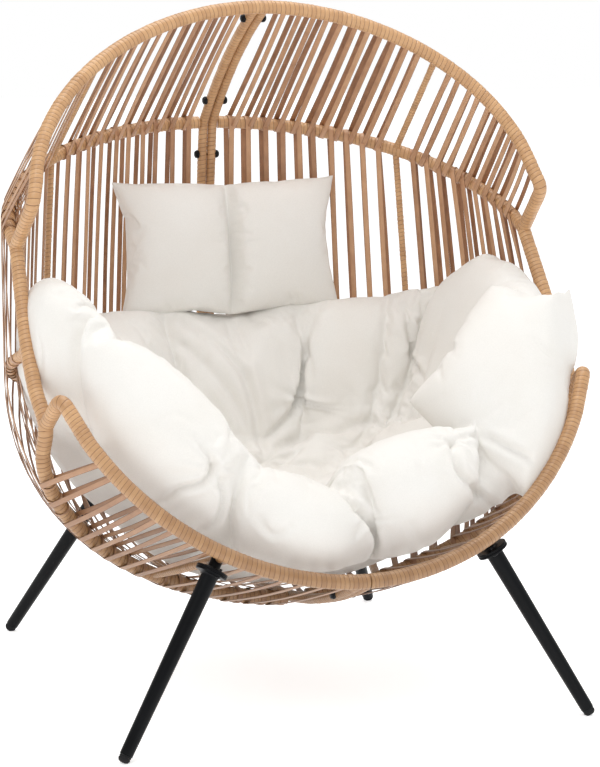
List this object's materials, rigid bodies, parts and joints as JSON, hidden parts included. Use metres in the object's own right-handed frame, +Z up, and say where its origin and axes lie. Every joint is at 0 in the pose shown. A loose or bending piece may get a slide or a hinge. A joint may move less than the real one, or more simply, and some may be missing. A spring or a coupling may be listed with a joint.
{
  "type": "egg chair",
  "caption": "Egg-shaped garden lounge chair: a slatted shell of wrapped tube on splayed legs, with a deep nest cushion and a head pillow.",
  "frame": {"origin": "on the floor under the middle of the chair", "axes": "+Z up, the seat opens towards -Y, +X is to the right of a person who faces the seat"},
  "size_m": [1.175, 1.0308, 1.3987],
  "materials": {
    "wicker_wrap": "golden tan flat wicker wound round steel tube",
    "wicker_slats": "tan flat resin wicker strips, slightly grained",
    "leg_steel": "satin black powder coat",
    "bolt_black": "black coated fastener",
    "glide_plastic": "black moulded plastic",
    "cushion_fabric": "ivory woven polyester over loose fibre filling"
  },
  "bodies": {
    "frame": {"canopy_hoop_left": "wicker_wrap", "side_tube_left": "wicker_wrap", "main_hoop_left": "wicker_wrap", "lower_hoop_left": "wicker_wrap", "mid_ring_left": "wicker_wrap", "lower_ring_left": "wicker_wrap", "spine_left": "wicker_wrap", "canopy_rib_left": "wicker_wrap", "back_rib_left": "wicker_wrap", "canopy_slats_rear_left": "wicker_slats", "canopy_slats_side_left": "wicker_slats", "back_slats_rear_left": "wicker_slats", "back_slats_side_left": "wicker_slats", "bowl_slats_rear_left": "wicker_slats", "bowl_slats_side_left": "wicker_slats", "front_slats_middle_left": "wicker_slats", "front_slats_side_left": "wicker_slats", "canopy_hoop_right": "wicker_wrap", "side_tube_right": "wicker_wrap", "main_hoop_right": "wicker_wrap", "lower_hoop_right": "wicker_wrap", "mid_ring_right": "wicker_wrap", "lower_ring_right": "wicker_wrap", "spine_right": "wicker_wrap", "canopy_rib_right": "wicker_wrap", "back_rib_right": "wicker_wrap", "canopy_slats_rear_right": "wicker_slats", "canopy_slats_side_right": "wicker_slats", "back_slats_rear_right": "wicker_slats", "back_slats_side_right": "wicker_slats", "bowl_slats_rear_right": "wicker_slats", "bowl_slats_side_right": "wicker_slats", "front_slats_middle_right": "wicker_slats", "front_slats_side_right": "wicker_slats", "front_base_rib_right": "leg_steel", "leg_front_right": "leg_steel", "leg_screw_front_right_1": "bolt_black", "leg_screw_front_right_2": "bolt_black", "front_base_rib_left": "leg_steel", "leg_front_left": "leg_steel", "leg_screw_front_left_1": "bolt_black", "leg_screw_front_left_2": "bolt_black", "back_base_rib_right": "leg_steel", "leg_back_right": "leg_steel", "leg_screw_back_right_1": "bolt_black", "leg_screw_back_right_2": "bolt_black", "back_base_rib_left": "leg_steel", "leg_back_left": "leg_steel", "leg_screw_back_left_1": "bolt_black", "leg_screw_back_left_2": "bolt_black", "spine_bolt_top": "bolt_black", "spine_bolt_upper": "bolt_black", "spine_bolt_middle": "bolt_black", "spine_bolt_bottom": "bolt_black"},
    "cushion": {"seat_cushion": "cushion_fabric"},
    "pillow": {"head_pillow": "cushion_fabric"},
    "glide_front_left": {"glide_front_left": "glide_plastic"},
    "glide_front_right": {"glide_front_right": "glide_plastic"},
    "glide_back_left": {"glide_back_left": "glide_plastic"},
    "glide_back_right": {"glide_back_right": "glide_plastic"}
  },
  "joints": [
    {"name": "seat_cushion_lift_out", "type": "slide", "parent": "frame", "child": "cushion", "axis": [0, -0.8628, 0.5056], "range_m": [0, 0.75]},
    {"name": "head_pillow_lift_out", "type": "slide", "parent": "frame", "child": "pillow", "axis": [0, -0.8628, 0.5056], "range_m": [0, 0.75]},
    {"name": "glide_front_left_screw", "type": "slide", "parent": "frame", "child": "glide_front_left", "axis": [-0.4838, -0.1571, -0.861], "range_m": [0, 0.008]},
    {"name": "glide_front_right_screw", "type": "slide", "parent": "frame", "child": "glide_front_right", "axis": [0.4838, -0.1571, -0.861], "range_m": [0, 0.008]},
    {"name": "glide_back_left_screw", "type": "slide", "parent": "frame", "child": "glide_back_left", "axis": [-0.3802, 0.4142, -0.827], "range_m": [0, 0.008]},
    {"name": "glide_back_right_screw", "type": "slide", "parent": "frame", "child": "glide_back_right", "axis": [0.3802, 0.4142, -0.827], "range_m": [0, 0.008]}
  ]
}
